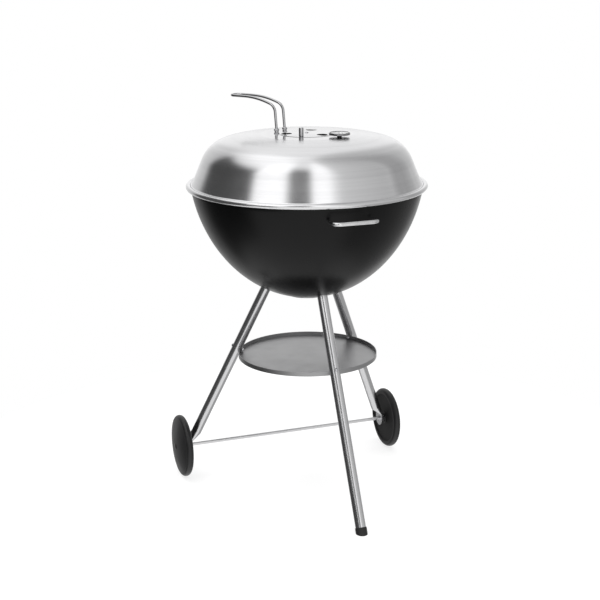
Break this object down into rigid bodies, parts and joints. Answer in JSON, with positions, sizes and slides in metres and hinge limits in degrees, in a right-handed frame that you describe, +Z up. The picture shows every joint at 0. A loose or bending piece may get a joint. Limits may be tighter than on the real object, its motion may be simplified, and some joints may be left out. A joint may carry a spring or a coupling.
{
  "type": "kettle charcoal grill",
  "caption": "Round kettle grill with a steel lid on a black bowl, standing on splayed tube legs with a tray and wheels.",
  "frame": {"origin": "centre of the footprint, on the floor", "axes": "+Z up; -Y towards the front leg and the bowl's handle; +X along the axle to the right wheel seen from the front leg's side"},
  "size_m": [0.6126, 0.6504, 0.9672],
  "materials": {
    "bowl_enamel": "semi-gloss black enamel with fine orange peel",
    "lid_steel": "brushed around the axis, satin",
    "bright_wire": "polished wire",
    "bar_steel": "satin bar",
    "tube_steel": "satin tube, brushed along its length",
    "tray_steel": "satin sheet",
    "fasteners": "zinc plated, lightly worn",
    "bracket_steel": "dark enamelled sheet",
    "plug_steel": "turned steel",
    "axle_steel": "drawn rod",
    "black_plastic": "moulded, faint grain",
    "cap_plastic": "moulded gloss cap",
    "foot_rubber": "moulded cap, dull",
    "grate_wire": "plated wire, lightly used",
    "coal_wire": "heavy plain wire, dull grey",
    "vent_steel": "satin disc, brushed around its centre",
    "low_vent_steel": "pressed plate",
    "dial_case_steel": "satin pressed case",
    "dial_face": "white face with printed ticks and zones",
    "dial_needle": "black needle",
    "dial_glass": "clear flat glass"
  },
  "bodies": {
    "base": {"bowl_shell": "bowl_enamel", "bowl_handle": "bar_steel", "bowl_handle_washers": "fasteners", "bowl_handle_nuts": "fasteners", "grate_supports": "bracket_steel", "leg_front": "tube_steel", "leg_left": "tube_steel", "leg_right": "tube_steel", "leg_plugs": "plug_steel", "leg_washers": "fasteners", "leg_bolts": "fasteners", "foot_cap": "foot_rubber", "shelf_tray": "tray_steel", "shelf_screws": "fasteners", "shelf_nuts": "fasteners", "axle_rod": "axle_steel", "wheel_spacers": "black_plastic", "axle_washers": "fasteners", "axle_clips": "plug_steel", "bottom_vent_pivot": "fasteners", "bottom_vent_nut": "fasteners"},
    "lid": {"lid_shell": "lid_steel", "lid_handle": "bright_wire", "lid_handle_collars": "bright_wire", "lid_handle_washers": "fasteners", "lid_handle_nuts": "fasteners", "top_vent_pivot": "fasteners", "top_vent_spring_washer": "fasteners", "top_vent_nut": "fasteners", "thermometer_case": "dial_case_steel", "thermometer_bezel": "bar_steel", "thermometer_dial": "dial_face", "thermometer_glass": "dial_glass", "thermometer_stem": "bar_steel", "thermometer_nut": "fasteners"},
    "top_vent": {"top_vent_plate": "vent_steel", "top_vent_knob": "bar_steel"},
    "needle": {"thermometer_needle": "dial_needle"},
    "bottom_vent": {"bottom_vent_plate": "low_vent_steel", "bottom_vent_knob": "bar_steel"},
    "wheel_left": {"wheel_left": "black_plastic", "wheel_left_cap": "cap_plastic"},
    "wheel_right": {"wheel_right": "black_plastic", "wheel_right_cap": "cap_plastic"},
    "cooking_grate": {"cooking_grate": "grate_wire", "grate_handles": "grate_wire"},
    "charcoal_grate": {"charcoal_grate": "coal_wire"}
  },
  "joints": [
    {"name": "lid_lift", "type": "slide", "parent": "base", "child": "lid", "axis": [0, 0, 1], "range_m": [0, 0.3]},
    {"name": "top_vent_turn", "type": "hinge", "parent": "lid", "child": "top_vent", "pos_m": [0, 0.0352, 0.8862], "axis": [0, 0, 1], "range_deg": [0, 60]},
    {"name": "needle_turn", "type": "hinge", "parent": "lid", "child": "needle", "pos_m": [0.05174, -0.04447, 0.8922], "axis": [0, 0, -1], "range_deg": [0, 270]},
    {"name": "bottom_vent_turn", "type": "hinge", "parent": "base", "child": "bottom_vent", "pos_m": [0, 0.0352, 0.488], "axis": [0, 0, 1], "range_deg": [0, 60]},
    {"name": "wheel_left_spin", "type": "hinge", "parent": "base", "child": "wheel_left", "pos_m": [-0.285, 0.1888, 0.0789], "axis": [1, 0, 0], "continuous": true},
    {"name": "wheel_right_spin", "type": "hinge", "parent": "base", "child": "wheel_right", "pos_m": [0.285, 0.1888, 0.0789], "axis": [1, 0, 0], "continuous": true},
    {"name": "cooking_grate_lift", "type": "slide", "parent": "base", "child": "cooking_grate", "axis": [0, 0, 1], "range_m": [0, 0.04]},
    {"name": "charcoal_grate_lift", "type": "slide", "parent": "base", "child": "charcoal_grate", "axis": [0, 0, 1], "range_m": [0, 0.06]}
  ]
}
